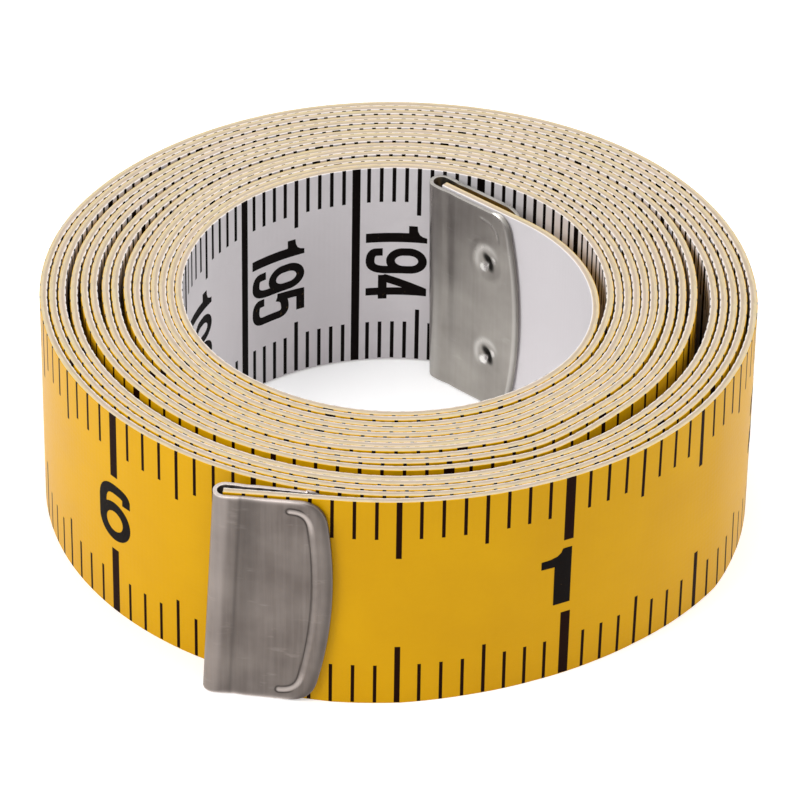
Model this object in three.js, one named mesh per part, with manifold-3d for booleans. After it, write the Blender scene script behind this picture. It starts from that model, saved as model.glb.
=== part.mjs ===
// Tailor's tape measure, wound up and lying on its edge, in millimetres with +Z up.
// One coated glass-fibre strip runs from the clip inside the coil to the clip outside it.
import * as THREE from 'three';
import { mergeVertices } from 'three/addons/utils/BufferGeometryUtils.js';
import Module from 'manifold-3d';

// Strip
const TAPE_WIDTH = 18;
const TAPE_THICKNESS = 0.26;

// Winding: an oval spiral that runs clockwise from its core to its outside, seen from above
const LOOPS = 15;
const STEPS_PER_LOOP = 36;
const CORE_RADIUS = 15.62;        // centre line of the first turn
const FRONT_GAP = 0.41;           // air between turns, towards the front and the back
const SIDE_GAP = 0.48;            // air between turns, towards the sides
const CORE_ANGLE = -45;           // degrees, where the inner end leaves the turns
const RIM_ANGLE = -76;            // degrees, where the outer end leaves the turns
const BEND_GAP = 0.3;             // slit across the strip at each of these two bends

// Inner free end: sprung across the core until its clip rests on the far wall
const INNER_FREE_LENGTH = 22.4;
const INNER_STEPS = 14;
const INNER_RADIUS_RISE = 1.9;    // how much its radius grows along it
const INNER_REST_GAP = 0.3;       // from the clip's fold to the wall
const CURL_TRIALS = 24;

// Outer free end: a flatter curve than the turn that it leaves
const OUTER_FREE_LENGTH = 10.6;
const OUTER_STEPS = 7;
const OUTER_RADIUS_RISE = 5.9;    // how much its radius passes that of the turn

// End clips: folded and crimped sheet, alike but for their fold
const CLIP_THICKNESS = 0.3;
const CLIP_EDGE_GAP = 0.1;        // from the strip's edge in to the clip's
const CLIP_LENGTH = 8.8;          // fold to the crown of the bowed lip
const CLIP_BOW_DEPTH = 0.95;      // how far the crown stands past the lip's ends
const CLIP_CORNER_RADIUS = 1.3;
const CLIP_SEAT_GAP = 0.3;        // between the strip and the leaf that it lies on
const STRIP_END_GAP = 1.2;        // from the fold to the strip's cut end
const STRIP_LEAD_LENGTH = 0.3;    // straight strip that shows before the lip
const OUTER_FOLD_THICKNESS = 1.8; // over both leaves, at the fold
const OUTER_LIP_THICKNESS = 1.4;  // over both leaves, at the lip
const OUTER_SKEW_ANGLE = 3.1;     // degrees that the fold leans
const INNER_FOLD_THICKNESS = 1.85;
const INNER_LIP_THICKNESS = 1.8;
const INNER_SKEW_ANGLE = -1.2;
const FOLD_STEPS = 10;
const LIP_STEPS = 8;
const CORNER_STEPS = 4;

// Details pressed into the leaves
const BEAD_RADIUS = 0.15;
const BEAD_HEIGHT = 0.12;
const BEAD_INSET = 1.2;           // from the leaf's edge to the bead's middle
const BEAD_LEG_LENGTH = 1.6;      // the bead's reach along the top and bottom edges
const BEAD_SIDES = 6;
const STAKE_HOLE_DIAMETER = 0.9;
const STAKE_MOUTH_DIAMETER = 1.9; // of the dished mouth, on the leaf's outer face
const STAKE_MOUTH_DEPTH = 0.22;
const STAKE_SPACING = 8.7;
const STAKE_DISTANCE = 5.7;       // from the fold
const STAKE_SIDES = 12;
const CUT_OVERRUN = 1;

const wasm = await Module();
wasm.setup();

const radians = THREE.MathUtils.degToRad;
const halfTape = TAPE_THICKNESS / 2;
const clipHeight = TAPE_WIDTH - 2 * CLIP_EDGE_GAP;
const frontPitch = TAPE_THICKNESS + FRONT_GAP;
const sidePitch = TAPE_THICKNESS + SIDE_GAP;
const turns = LOOPS + (CORE_ANGLE - RIM_ANGLE) / 360;

const finishes = {
  tape: new THREE.MeshStandardMaterial({ color: 0xe4b02c, roughness: 0.42, metalness: 0 }),
  clip: new THREE.MeshStandardMaterial({ color: 0x8b8781, roughness: 0.34, metalness: 1 }),
};

// Centre line of the winding, counted in turns from its core
function windingPoint(turn) {
  const angle = radians(CORE_ANGLE) - turn * 2 * Math.PI;
  return new THREE.Vector2(
    (CORE_RADIUS + sidePitch * turn) * Math.cos(angle),
    (CORE_RADIUS + frontPitch * turn) * Math.sin(angle),
  );
}

// Direction of the winding there, running outwards
function windingHeading(turn) {
  const nudge = 1 / (STEPS_PER_LOOP * STEPS_PER_LOOP);
  return windingPoint(turn + nudge).sub(windingPoint(turn - nudge)).angle();
}

function windingPath() {
  const trim = (turn) => BEND_GAP / 2 / (2 * Math.PI * windingPoint(turn).length());
  const from = trim(0);
  const to = turns - trim(turns);
  const count = Math.round(turns * STEPS_PER_LOOP);
  return Array.from({ length: count + 1 }, (_, i) => (
    windingPoint(THREE.MathUtils.lerp(from, to, i / count))
  ));
}

// Free end of the strip: a slit, a curve whose radius changes steadily, then straight into its clip.
// It starts at a bend; a positive side curls it to the left of its heading.
function freeEnd({ bend, heading, length, count, radiusStart, radiusEnd, side }) {
  const forward = (angle, distance) => (
    new THREE.Vector2(Math.cos(angle), Math.sin(angle)).multiplyScalar(distance)
  );
  const step = length / count;
  const points = [bend.clone().add(forward(heading, BEND_GAP / 2))];
  let direction = heading;
  for (let i = 0; i < count; i += 1) {
    const share = (i + 0.5) / count;
    const turned = side * THREE.MathUtils.lerp(1 / radiusStart, 1 / radiusEnd, share) * step;
    const move = forward(direction + turned / 2, step);
    points.push(points[i].clone().add(move));
    direction += turned;
  }
  const straight = STRIP_LEAD_LENGTH + CLIP_LENGTH - STRIP_END_GAP;
  points.push(points[count].clone().add(forward(direction, straight)));
  const fold = points[count + 1].clone().add(forward(direction, STRIP_END_GAP));
  return { points, fold, direction };
}

// Air between a clip's leaning fold and the inner face of the first turn
function foldClearance(end, { fold, skew }) {
  const lean = Math.tan(radians(Math.abs(skew))) * clipHeight / 2;
  const nearFace = halfTape + CLIP_SEAT_GAP + CLIP_THICKNESS;
  const centre = new THREE.Vector2(fold / 2 - lean, fold / 2 - nearFace);
  centre.rotateAround(new THREE.Vector2(), end.direction + Math.PI).add(end.fold);
  const turned = (radians(CORE_ANGLE) - centre.angle()) / (2 * Math.PI);
  const wall = windingPoint(THREE.MathUtils.euclideanModulo(turned, 1)).length() - halfTape;
  return wall - centre.length() - fold / 2;
}

// The inner end curls just tightly enough for its clip to rest against the first turn
function innerFreeEnd(style) {
  const curled = (radius) => freeEnd({
    bend: windingPoint(0),
    heading: windingHeading(0) + Math.PI,
    length: INNER_FREE_LENGTH,
    count: INNER_STEPS,
    radiusStart: radius,
    radiusEnd: radius + INNER_RADIUS_RISE,
    side: 1,
  });
  let [tight, loose] = [CORE_RADIUS / 2, CORE_RADIUS];
  for (let i = 0; i < CURL_TRIALS; i += 1) {
    const radius = (tight + loose) / 2;
    if (foldClearance(curled(radius), style) > INNER_REST_GAP) {
      tight = radius;
    } else {
      loose = radius;
    }
  }
  return curled(tight);
}

function outerFreeEnd() {
  const bend = windingPoint(turns);
  const radius = bend.length() + OUTER_RADIUS_RISE;
  return freeEnd({
    bend,
    heading: windingHeading(turns),
    length: OUTER_FREE_LENGTH,
    count: OUTER_STEPS,
    radiusStart: radius,
    radiusEnd: radius,
    side: -1,
  });
}

// Directions square to a path in plan, lengthened at each bend to keep the thickness there
function mitres(points) {
  return points.map((point, i) => {
    const before = points[Math.max(i - 1, 0)];
    const after = points[Math.min(i + 1, points.length - 1)];
    const back = point.clone().sub(before).normalize();
    const ahead = after.clone().sub(point).normalize();
    const along = back.clone().add(ahead).normalize();
    const square = new THREE.Vector2(-along.y, along.x);
    const edge = ahead.lengthSq() > 0 ? ahead : back;
    return square.divideScalar(square.dot(new THREE.Vector2(-edge.y, edge.x)));
  });
}

// Both faces of a sheet that follows a path in plan
function faces(points, thickness) {
  const squares = mitres(points);
  return [-1, 1].map((side) => (
    points.map((point, i) => point.clone().addScaledVector(squares[i], side * thickness / 2))
  ));
}

// Upright strip along a path in plan
function stripGeometry(points) {
  const [right, left] = faces(points, TAPE_THICKNESS);
  const positions = points.flatMap((_, i) => [
    right[i].x, right[i].y, 0,
    left[i].x, left[i].y, 0,
    left[i].x, left[i].y, TAPE_WIDTH,
    right[i].x, right[i].y, TAPE_WIDTH,
  ]);
  const corners = 4;
  const triangles = [0, 2, 1, 0, 3, 2];
  for (let i = 0; i < points.length - 1; i += 1) {
    for (let k = 0; k < corners; k += 1) {
      const a = i * corners + k;
      const b = i * corners + (k + 1) % corners;
      triangles.push(a, b, b + corners, a, b + corners, a + corners);
    }
  }
  const last = (points.length - 1) * corners;
  triangles.push(last, last + 1, last + 2, last, last + 2, last + 3);
  const geometry = new THREE.BufferGeometry();
  geometry.setAttribute('position', new THREE.Float32BufferAttribute(positions, 3));
  geometry.setIndex(triangles);
  return geometry;
}

// Least air between a turn and the next, from the corners of each to the facets of the other
function leastGap(points) {
  const [right, left] = faces(points, TAPE_THICKNESS).map((face) => (
    face.map((corner) => new THREE.Vector3(corner.x, corner.y, 0))
  ));
  const nearest = new THREE.Vector3();
  let least = Infinity;
  const probe = (corner, a, b) => {
    new THREE.Line3(a, b).closestPointToPoint(corner, true, nearest);
    least = Math.min(least, nearest.distanceTo(corner));
  };
  for (let i = 0; i < points.length; i += 1) {
    for (let j = i + STEPS_PER_LOOP - 2; j < i + STEPS_PER_LOOP + 2 && j + 1 < points.length; j += 1) {
      probe(left[i], right[j], right[j + 1]);
      probe(right[i], left[j], left[j + 1]);
      probe(left[j], right[i], right[Math.min(i + 1, points.length - 1)]);
      probe(right[j], left[i], left[Math.min(i + 1, points.length - 1)]);
    }
  }
  return least;
}

function pathLength(points) {
  return points.slice(1).reduce((sum, point, i) => sum + point.distanceTo(points[i]), 0);
}

function solid(geometry) {
  const bare = geometry.clone();
  bare.deleteAttribute('normal');
  bare.deleteAttribute('uv');
  const merged = mergeVertices(bare, CLIP_THICKNESS / 1000);
  return new wasm.Manifold(new wasm.Mesh({
    numProp: 3,
    vertProperties: new Float32Array(merged.attributes.position.array),
    triVerts: new Uint32Array(merged.index.array),
  }));
}

function solidGeometry(manifold) {
  const { vertProperties, triVerts } = manifold.getMesh();
  const geometry = new THREE.BufferGeometry();
  geometry.setAttribute('position', new THREE.BufferAttribute(vertProperties, 3));
  geometry.setIndex(new THREE.BufferAttribute(triVerts, 1));
  return geometry;
}

// Edge of a leaf at its lip, drawn in by an inset: up from the bottom corner, over the bow, to the top
function lipOutline(inset) {
  const half = clipHeight / 2 - inset;
  const bowRadius = (clipHeight ** 2 / 4 + CLIP_BOW_DEPTH ** 2) / (2 * CLIP_BOW_DEPTH) - inset;
  const crown = CLIP_LENGTH - inset;
  const reach = (height) => crown - bowRadius + Math.sqrt(bowRadius ** 2 - height ** 2);
  const corner = CLIP_CORNER_RADIUS;
  const bottom = new THREE.QuadraticBezierCurve(
    new THREE.Vector2(reach(half) - corner, -half),
    new THREE.Vector2(reach(half), -half),
    new THREE.Vector2(reach(half - corner), corner - half),
  ).getPoints(CORNER_STEPS);
  const bow = Array.from({ length: LIP_STEPS - 1 }, (_, i) => {
    const height = THREE.MathUtils.lerp(corner - half, half - corner, (i + 1) / LIP_STEPS);
    return new THREE.Vector2(reach(height), height);
  });
  const top = bottom.map((point) => new THREE.Vector2(point.x, -point.y)).reverse();
  return [...bottom, ...bow, ...top];
}

// What a stake cuts from a leaf whose outer face is at zero height: a dished mouth, then a hole
function stakeGeometry() {
  const [hole, mouth] = [STAKE_HOLE_DIAMETER / 2, STAKE_MOUTH_DIAMETER / 2];
  const depth = CLIP_THICKNESS + CLIP_SEAT_GAP;
  return new THREE.LatheGeometry([
    new THREE.Vector2(0, -depth),
    new THREE.Vector2(hole, -depth),
    new THREE.Vector2(hole, -STAKE_MOUTH_DEPTH),
    new THREE.Vector2(mouth, 0),
    new THREE.Vector2(mouth, CUT_OVERRUN),
    new THREE.Vector2(0, CUT_OVERRUN),
  ], STAKE_SIDES);
}

// Clip in its own frame: X from the fold to the lip, the near leaf towards -Y, middle height at zero
function clipGeometry({ fold, lip, skew, beadSide, stakeSide }) {
  const near = -(halfTape + CLIP_SEAT_GAP + CLIP_THICKNESS / 2);
  const far = near + lip - CLIP_THICKNESS;
  const radius = (fold - CLIP_THICKNESS) / 2;
  const centre = new THREE.Vector2(radius + CLIP_THICKNESS / 2, near + radius);

  // The sheet runs in along the near leaf, round the fold and out along the far leaf
  const farLip = new THREE.Vector2(CLIP_LENGTH, far);
  const span = farLip.clone().sub(centre);
  const leaving = span.angle() + Math.acos(radius / span.length());
  const path = [new THREE.Vector2(CLIP_LENGTH + CUT_OVERRUN, near)];
  for (let i = 0; i <= FOLD_STEPS; i += 1) {
    const angle = THREE.MathUtils.lerp(1.5 * Math.PI, leaving, i / FOLD_STEPS);
    path.push(new THREE.Vector2(radius, 0).rotateAround(new THREE.Vector2(), angle).add(centre));
  }
  const farStart = path[path.length - 1];
  const farSlope = (far - farStart.y) / (CLIP_LENGTH - farStart.x);
  path.push(new THREE.Vector2(CLIP_LENGTH + CUT_OVERRUN, far + farSlope * CUT_OVERRUN));
  const [right, left] = faces(path, CLIP_THICKNESS);
  const section = new THREE.Shape([...right, ...left.reverse()]);
  const sheet = new THREE.ExtrudeGeometry(section, { depth: clipHeight, bevelEnabled: false });
  sheet.translate(0, 0, -clipHeight / 2);

  // Both leaves are trimmed to the same outline
  const edge = lipOutline(0);
  const back = -CUT_OVERRUN;
  const outline = new THREE.Shape([
    new THREE.Vector2(back, -clipHeight / 2), ...edge, new THREE.Vector2(back, clipHeight / 2),
  ]);
  const depth = fold + 2 * CUT_OVERRUN;
  const blank = new THREE.ExtrudeGeometry(outline, { depth, bevelEnabled: false });
  blank.rotateX(Math.PI / 2).translate(0, near + fold + CUT_OVERRUN, 0);
  let clip = solid(sheet).intersect(solid(blank));

  // A pressed bead follows the lip on one leaf, standing a little proud of it
  const leafFace = (side, x) => (
    (side < 0 ? near : far + farSlope * (x - CLIP_LENGTH)) + side * CLIP_THICKNESS / 2
  );
  const run = lipOutline(BEAD_INSET);
  const leg = new THREE.Vector2(BEAD_LEG_LENGTH, 0);
  const beadPath = [run[0].clone().sub(leg), ...run, run[run.length - 1].clone().sub(leg)];
  const beadCurve = new THREE.CatmullRomCurve3(beadPath.map(({ x, y }) => (
    new THREE.Vector3(x, leafFace(beadSide, x) - beadSide * (BEAD_RADIUS - BEAD_HEIGHT), y)
  )));
  const ring = new THREE.EllipseCurve(0, 0, BEAD_RADIUS, BEAD_RADIUS).getPoints(BEAD_SIDES).slice(1);
  const bead = new THREE.ExtrudeGeometry(new THREE.Shape(ring), {
    steps: beadPath.length, bevelEnabled: false, extrudePath: beadCurve,
  });
  clip = clip.add(solid(bead));

  // Two stakes are punched through the other leaf
  for (const side of [-1, 1]) {
    const stake = stakeGeometry();
    stake.rotateX(stakeSide > 0 ? 0 : Math.PI);
    stake.translate(
      STAKE_DISTANCE, leafFace(stakeSide, STAKE_DISTANCE), side * STAKE_SPACING / 2,
    );
    clip = clip.subtract(solid(stake));
  }

  const geometry = solidGeometry(clip);
  const lean = Math.tan(radians(skew));
  return geometry.applyMatrix4(new THREE.Matrix4().makeShear(0, 0, 0, 0, lean, 0));
}

const coil = new THREE.Group();

function addPiece(name, geometry, finish) {
  const mesh = new THREE.Mesh(geometry, finishes[finish]);
  mesh.name = name;
  coil.add(mesh);
  return mesh;
}

function addClip(name, end, style) {
  const clip = addPiece(name, clipGeometry(style), 'clip');
  clip.position.set(end.fold.x, end.fold.y, TAPE_WIDTH / 2);
  clip.rotation.z = end.direction + Math.PI;
}

const innerClip = {
  fold: INNER_FOLD_THICKNESS,
  lip: INNER_LIP_THICKNESS,
  skew: INNER_SKEW_ANGLE,
  beadSide: 1,
  stakeSide: -1,
};
const outerClip = {
  fold: OUTER_FOLD_THICKNESS,
  lip: OUTER_LIP_THICKNESS,
  skew: OUTER_SKEW_ANGLE,
  beadSide: -1,
  stakeSide: 1,
};
const winding = windingPath();
const innerEnd = innerFreeEnd(innerClip);
const outerEnd = outerFreeEnd();

addPiece('tape_coil', stripGeometry(winding), 'tape');
addPiece('tape_inner_end', stripGeometry(innerEnd.points), 'tape');
addPiece('tape_outer_end', stripGeometry(outerEnd.points), 'tape');
addClip('inner_end_clip', innerEnd, innerClip);
addClip('outer_end_clip', outerEnd, outerClip);

// The part stands centred on the origin
const extent = new THREE.Box3().setFromObject(coil, true);
const middle = extent.getCenter(new THREE.Vector3());
coil.position.set(-middle.x, -middle.y, -extent.min.z);
const model = new THREE.Group();
model.add(coil);

const place = (point) => `${(point.x - middle.x).toFixed(2)}, ${(point.y - middle.y).toFixed(2)}`;
const total = [winding, innerEnd.points, outerEnd.points].map(pathLength).reduce((a, b) => a + b);
console.log(`strip ${(total + 2 * BEND_GAP).toFixed(1)} long, turns ${turns.toFixed(2)}`);
console.log(`least gap between turns ${leastGap(winding).toFixed(3)}`);
console.log(`inner bend at ${place(windingPoint(0))}, outer bend at ${place(windingPoint(turns))}`);

export default model;
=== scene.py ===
# Wound tape measure lying on its edge, with a folded clip on each end.
# The dictionaries hold millimetres and degrees, and the meshes are made in metres.
import math

import bmesh
import bpy
import numpy as np
from mathutils import Matrix, Vector


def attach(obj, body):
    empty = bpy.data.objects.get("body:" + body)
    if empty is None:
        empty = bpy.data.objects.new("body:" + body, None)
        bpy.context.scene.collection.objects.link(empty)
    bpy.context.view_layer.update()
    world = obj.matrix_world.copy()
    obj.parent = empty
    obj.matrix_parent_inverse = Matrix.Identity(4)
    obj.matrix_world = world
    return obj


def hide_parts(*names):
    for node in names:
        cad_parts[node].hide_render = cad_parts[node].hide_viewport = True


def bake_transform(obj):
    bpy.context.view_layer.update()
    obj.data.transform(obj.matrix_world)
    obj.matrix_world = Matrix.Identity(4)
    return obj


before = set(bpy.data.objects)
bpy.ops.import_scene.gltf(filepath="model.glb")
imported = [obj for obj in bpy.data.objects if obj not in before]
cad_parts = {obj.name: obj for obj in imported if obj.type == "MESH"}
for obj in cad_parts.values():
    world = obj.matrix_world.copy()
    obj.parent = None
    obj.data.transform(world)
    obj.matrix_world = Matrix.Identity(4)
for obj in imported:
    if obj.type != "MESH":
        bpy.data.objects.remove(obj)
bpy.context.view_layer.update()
print("frame loaded:", len(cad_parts), "nodes")

scene = bpy.context.scene
scene.view_settings.view_transform = "Standard"


def addObject(name, data):
    thing = bpy.data.objects.new(name, data)
    scene.collection.objects.link(thing)
    return thing


# Camera and lamps

cameraSetup = {
    "place": (0.2355, -325.39, 250.03),
    "target": (0.2355, 10.96, 0.0),
    "roll": -0.956,
    "lens": 240.5,
    "sensor": 36.0,
}


def makeCamera(setup):
    place, target = Vector(setup["place"]) / 1000, Vector(setup["target"]) / 1000
    ahead = (target - place).normalized()
    level = ahead.cross(Vector((0, 0, 1))).normalized()
    upright = level.cross(ahead)
    roll = math.radians(setup["roll"])
    right = level * math.cos(roll) - upright * math.sin(roll)
    up = level * math.sin(roll) + upright * math.cos(roll)
    data = bpy.data.cameras.new("camera")
    data.lens, data.sensor_width = setup["lens"], setup["sensor"]
    data.clip_start, data.clip_end = 0.01, 20
    camera = addObject("camera", data)
    turn = Matrix((right, up, -ahead)).transposed()
    camera.matrix_world = Matrix.Translation(place) @ turn.to_4x4()
    scene.camera = camera


makeCamera(cameraSetup)

lampSetup = {
    "key": {"place": (-350, -210, 390), "size": 300, "power": 1.74},
    "fill": {"place": (400, 20, 330), "size": 320, "power": 0.7},
    "top": {"place": (60, 90, 520), "size": 300, "power": 0.9},
}


def makeLamp(name, setup):
    data = bpy.data.lights.new(name, "AREA")
    data.shape, data.size = "DISK", setup["size"] / 1000
    data.energy = setup["power"]
    lamp = addObject(name, data)
    lamp.location = Vector(setup["place"]) / 1000
    lamp.rotation_euler = (-lamp.location).to_track_quat("-Z", "Y").to_euler()


for lampName, setup in lampSetup.items():
    makeLamp(lampName, setup)


# Small helpers for node trees

def addNode(tree, kind, inputs=None, **values):
    node = tree.nodes.new(kind)
    for name, value in values.items():
        setattr(node, name, value)
    plugAll(tree, node, inputs or {})
    return node


# Links what is a socket and sets what is a value
def plugAll(tree, node, inputs):
    for name, value in inputs.items():
        if isinstance(value, bpy.types.NodeSocket):
            tree.links.new(value, node.inputs[name])
        else:
            node.inputs[name].default_value = value


def maths(tree, operation, *values, clamp=False):
    inputs = dict(enumerate(values))
    return addNode(tree, "ShaderNodeMath", inputs, operation=operation, use_clamp=clamp).outputs[0]


def plus(tree, *values):
    return maths(tree, "ADD", *values)


def minus(tree, *values):
    return maths(tree, "SUBTRACT", *values)


def times(tree, *values):
    return maths(tree, "MULTIPLY", *values)


def mixColour(tree, factor, first, second):
    inputs = {0: factor, 6: first, 7: second}
    return addNode(tree, "ShaderNodeMix", inputs, data_type="RGBA").outputs[2]


def rescale(tree, value, fromLow, fromHigh, toLow, toHigh):
    inputs = dict(enumerate((value, fromLow, fromHigh, toLow, toHigh)))
    return addNode(tree, "ShaderNodeMapRange", inputs).outputs[0]


def combine(tree, *values):
    return addNode(tree, "ShaderNodeCombineXYZ", dict(enumerate(values))).outputs[0]


def readAttribute(tree, name):
    return addNode(tree, "ShaderNodeAttribute", attribute_name=name).outputs["Fac"]


# Where most of a noise's values lie
noiseRange = (0.3, 0.7)


def addNoise(tree, place, scale, detail, stretch=(1, 1, 1)):
    fit = addNode(tree, "ShaderNodeMapping", {"Vector": place, "Scale": stretch})
    inputs = {"Vector": fit.outputs[0], "Scale": scale, "Detail": detail}
    return addNode(tree, "ShaderNodeTexNoise", inputs).outputs["Fac"]


def bumped(tree, height, strength, distance):
    inputs = {"Height": height, "Strength": strength, "Distance": distance / 1000}
    return addNode(tree, "ShaderNodeBump", inputs).outputs[0]


# A colour as shaders take it, from levels out of 255
def linear(red, green, blue):
    tone = [c / 255 for c in (red, green, blue)]
    return tuple(c / 12.92 if c < 0.04045 else ((c + 0.055) / 1.055) ** 2.4 for c in tone) + (1.0,)


def newMaterial(name):
    material = bpy.data.materials.new(name)
    material.use_nodes = True
    return material, material.node_tree, material.node_tree.nodes["Principled BSDF"]


# Floor and world

stageSetup = {"floor": (0.86, 0.86, 0.86, 1), "glow": 0.4, "world": 0.46, "reach": 4000}


def seenDirectly(tree):
    path = addNode(tree, "ShaderNodeLightPath")
    seen = plus(tree, path.outputs["Is Camera Ray"], path.outputs["Is Glossy Ray"])
    return maths(tree, "ADD", seen, path.outputs["Is Transmission Ray"], clamp=True)


def makeStage(setup):
    material, tree, shader = newMaterial("paleFloor")
    plugAll(tree, shader, {
        "Base Color": setup["floor"], "Roughness": 0.9, "Specular IOR Level": 0,
        "Emission Color": (1, 1, 1, 1),
        "Emission Strength": times(tree, seenDirectly(tree), setup["glow"]),
    })
    reach = setup["reach"] / 1000
    mesh = bpy.data.meshes.new("floor")
    corners = [(-reach, -reach, 0), (reach, -reach, 0), (reach, reach, 0), (-reach, reach, 0)]
    mesh.from_pydata(corners, [], [(0, 1, 2, 3)])
    mesh.materials.append(material)
    addObject("floor", mesh)

    world = bpy.data.worlds.new("studio")
    world.use_nodes = True
    tree = world.node_tree
    strength = rescale(tree, seenDirectly(tree), 0, 1, setup["world"], 1)
    plugAll(tree, tree.nodes["Background"], {"Color": (1, 1, 1, 1), "Strength": strength})
    scene.world = world


makeStage(stageSetup)
print("camera, lamps and floor ready")


# The strip's course, from the fold of the outer clip to the fold of the inner one

strip = {
    "width": 18.2,
    "thickness": 0.575,
    "cornerRadius": 0.045,
    "cornerSteps": 3,
    "segment": 1.0,  # length of a facet
    "seamSteps": (0.1, 0.25, 0.5),  # shorter facets beside a seam, so that it doesn't show
    "heightStray": 0.07,  # how far the turns stand up unevenly
    "strayFrom": (170, 40),  # where that begins, and the length over which it grows
    "waves": [(1, 61, 0.8), (0.6, 23.7, 2.1), (0.4, 9.3, 0)],  # height, length and start
}

winding = {
    "middle": (-0.18454, 0.49855),
    "coreAngle": -45.0,
    "turns": 15.08611,
    "coreRadius": 15.62,
    "pitch": (0.74, 0.67),  # towards the sides, and towards the front and back
    "endGap": 1.2,  # from a clip's fold to the strip's cut end
    "clipReach": 8.8,  # straight strip at each end, up to the CAD part's fold
    "foldPast": 0.3,  # how much further the fold is here
    "bendGap": 0.15,  # straight strip beside each bend
    "outerCurve": (10.6, 31.6907, 31.6907),  # length, radius at its start and at its end
    "innerCurve": (22.4, 12.5586, 14.4586),
    "curveStep": 0.2,
    "turnSteps": 300,  # places worked out on each turn
}

# Where the winding strays from an even spiral: the angles at which it begins to,
# does so fully, begins to recover and is even again, and how far outwards by turn
strays = [
    ((95, 168, 192, 262), [(0, 0), (0.3, 0.42), (5, 0.04), (15.1, 0.08)]),
    ((-34, -14, 10, 44), [(0, 0), (0.7, -0.24), (7, -0.3), (10.2, 0)]),
    ((32, 88, 128, 172), [(0, 0), (0.6, 0.1), (3, 0), (15.1, -0.44)]),
]

# Where the turns lie loose: the turn inside the space, the same four angles, how much wider
# the space is there, and for the widest the share of it that the turns inside it make room for
looseSpots = [
    (9.93, (-68, -43, -8, 36), 0.84, 1.0),
    (10.25, (172, 206, 284, 300), 0.42),
    (9.07, (246, 274, 304, 326), 0.28),
    (7.03, (252, 275, 335, 350), 0.12),
    (1.1, (215, 235, 345, 362), 0.1),
    (6.375, (138, 165, 198, 228), 0.24),
    (8.4, (132, 155, 184, 204), 0.2),
    (11.4, (122, 150, 184, 202), 0.2),
    (4.375, (155, 175, 200, 220), 0.08),
    (8.8, (-15, 0, 25, 50), 0.07),
    (2.625, (45, 75, 120, 145), 0.1),
    (5.625, (45, 75, 120, 145), 0.1),
    (9.625, (60, 80, 120, 145), 0.1),
    (12.625, (25, 75, 120, 145), 0.12),
]


def smooth(value):
    value = np.clip(value, 0, 1)
    return value * value * (3 - 2 * value)


# From 0 at a start to 1 past a length
def ramp(value, start, length):
    return smooth((value - start) / length)


# A strength at a place, fading over a reach from it
def bell(value, strength, place, reach):
    return strength * np.exp(-((value - place) / reach) ** 2)


# How fully something happens at an angle, from 0 to 1
def fullness(angles, angle):
    start, full, last, end = angles
    middle = (start + end) / 2
    near = (np.degrees(angle) - middle + 180) % 360 - 180 + middle
    return ramp(near, start, full - start) * ramp(-near, -end, end - last)


def windingPoints(turn):
    turn = np.asarray(turn, float)
    angle = np.radians(winding["coreAngle"]) - turn * 2 * np.pi
    outward = np.stack([np.cos(angle), np.sin(angle)], -1)
    moved = np.zeros_like(turn)
    for inner, angles, opening, *share in looseSpots:
        # The turns outside the space move out and those inside it close up, so the outline stays
        gap = inner + 0.5
        inside = share[0] if share else gap / winding["turns"]
        given = np.interp(turn, [0, gap, winding["turns"]], [0, inside, 1])
        moved += opening * fullness(angles, angle) * ((turn > gap) - given)
    for angles, outwards in strays:
        moved += fullness(angles, angle) * np.interp(turn, *zip(*outwards))
    radius = winding["coreRadius"] + np.array(winding["pitch"]) * turn[..., None] + moved[..., None]
    return radius * outward + np.array(winding["middle"])


# From a point and heading: a short straight run, a curve that changes steadily, a straight end
def freeEnd(start, heading, curve, side):
    length, first, last = curve
    step = winding["curveStep"]
    share = np.arange(0, length + 1e-9, step) / length
    curvature = side * (1 / first + (1 / last - 1 / first) * share)
    turned = heading + np.concatenate([[0], np.cumsum((curvature[1:] + curvature[:-1]) / 2 * step)])
    course = np.stack([np.cos(turned), np.sin(turned)], 1)
    moves = (course[1:] + course[:-1]) / 2 * step
    first = np.array(start) + course[0] * winding["bendGap"]
    points = np.vstack([start, first, first + np.cumsum(moves, 0)])
    ends = [points[-1] + course[-1] * (winding["clipReach"] + more) for more in (0, winding["foldPast"])]
    return np.vstack([points, ends]), turned[-1]


def windingHeading(turn):
    near = 0.0008
    ahead, behind = windingPoints(turn + near), windingPoints(turn - near)
    return math.atan2(*(ahead - behind)[::-1])


def stripCourse():
    count = int(winding["turns"] * winding["turnSteps"])
    middle = windingPoints(np.linspace(winding["turns"], 0, count + 1))
    outer, outerWay = freeEnd(middle[0], windingHeading(winding["turns"]), winding["outerCurve"], -1)
    inner, innerWay = freeEnd(middle[-1], windingHeading(0.0) + math.pi, winding["innerCurve"], 1)
    points = np.vstack([outer[::-1], middle[1:-1], inner])
    run = np.concatenate([[0], np.cumsum(np.linalg.norm(np.diff(points, axis=0), axis=1))])
    bends = run[len(outer) - 1], run[len(outer) + len(middle) - 2]
    return points, run, bends, {"outer": (outer[-1], outerWay), "inner": (inner[-1], innerWay)}


coursePoints, courseRun, bends, folds = stripCourse()
courseLength = courseRun[-1]


# Place on the strip's middle, heading and outward direction, at distances from the outer fold
def onCourse(along):
    def place(at):
        return np.stack([np.interp(at, courseRun, coursePoints[:, k]) for k in (0, 1)], -1)
    along = np.asarray(along, float)
    near = 0.3
    way = place(np.minimum(along + near, courseLength)) - place(np.maximum(along - near, 0))
    way /= np.linalg.norm(way, axis=-1, keepdims=True)
    return place(along), way, np.stack([way[..., 1], -way[..., 0]], -1)


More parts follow.
